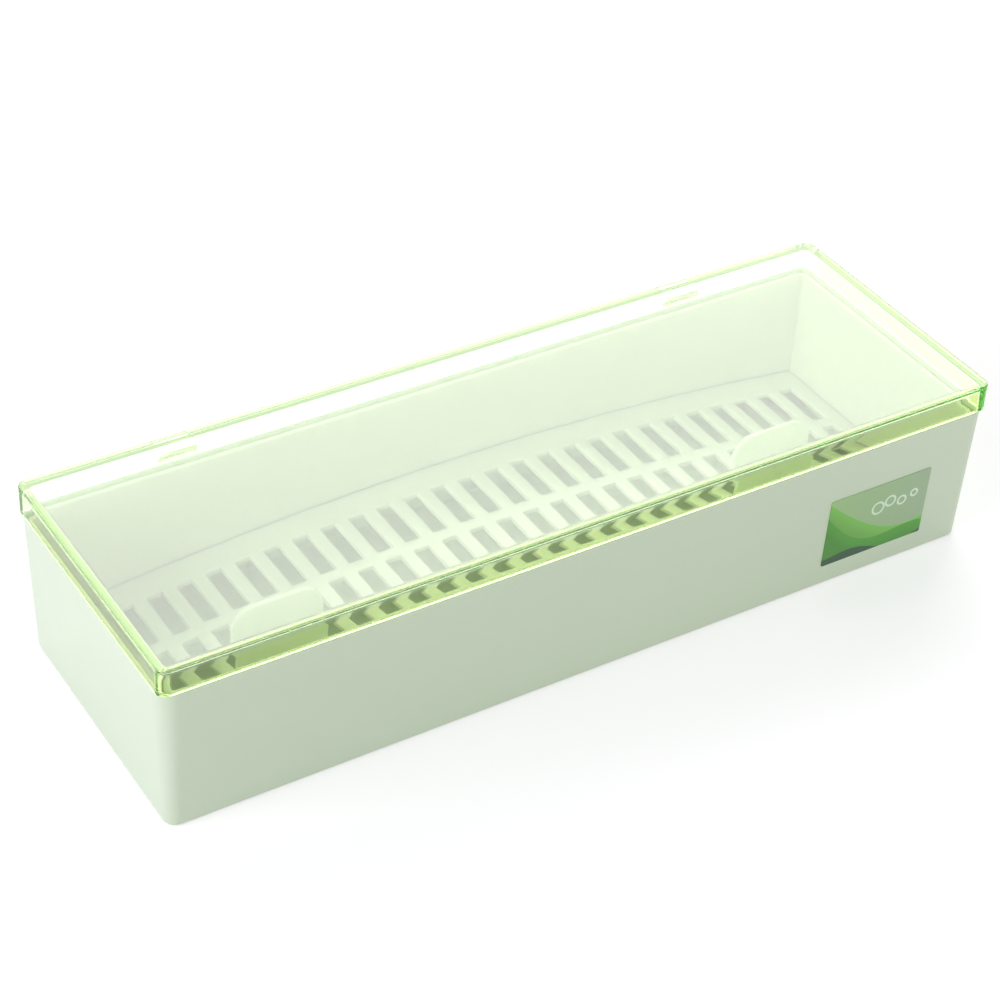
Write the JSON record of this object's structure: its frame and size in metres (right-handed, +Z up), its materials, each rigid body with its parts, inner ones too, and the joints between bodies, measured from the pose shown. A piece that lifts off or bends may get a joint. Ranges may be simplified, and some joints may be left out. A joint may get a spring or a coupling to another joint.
{
  "type": "chopstick holder with flip lid",
  "caption": "Long low box for chopsticks: clear tinted lid hinged along the rear, lift-out drain basket with an arched slotted floor and finger tabs, sticker on the front.",
  "frame": {"origin": "middle of the flat underside, on the surface the box stands on", "axes": "+X along the length, to the right as seen from the front; -Y towards the front, +Y towards the hinge; +Z up"},
  "size_m": [0.288, 0.1044, 0.06],
  "materials": {
    "box": "pale mint, smooth moulded with a soft sheen",
    "basket": "pale mint white, smooth moulded",
    "lid": "clear yellow-green, polished",
    "pin": "plain drawn wire",
    "label": "printed film sticker, satin"
  },
  "bodies": {
    "base": {"outer_box": "box", "hinge_pin_left": "pin", "hinge_pin_right": "pin", "label": "label"},
    "basket": {"drain_basket": "basket"},
    "lid": {"lid": "lid"}
  },
  "joints": [
    {"name": "lid_hinge", "type": "hinge", "parent": "base", "child": "lid", "pos_m": [0, 0.0524, 0.0395], "axis": [-1, 0, 0], "range_deg": [0, 105]},
    {"name": "basket_lift", "type": "slide", "parent": "base", "child": "basket", "axis": [0, 0, 1], "range_m": [0, 0.001]}
  ]
}
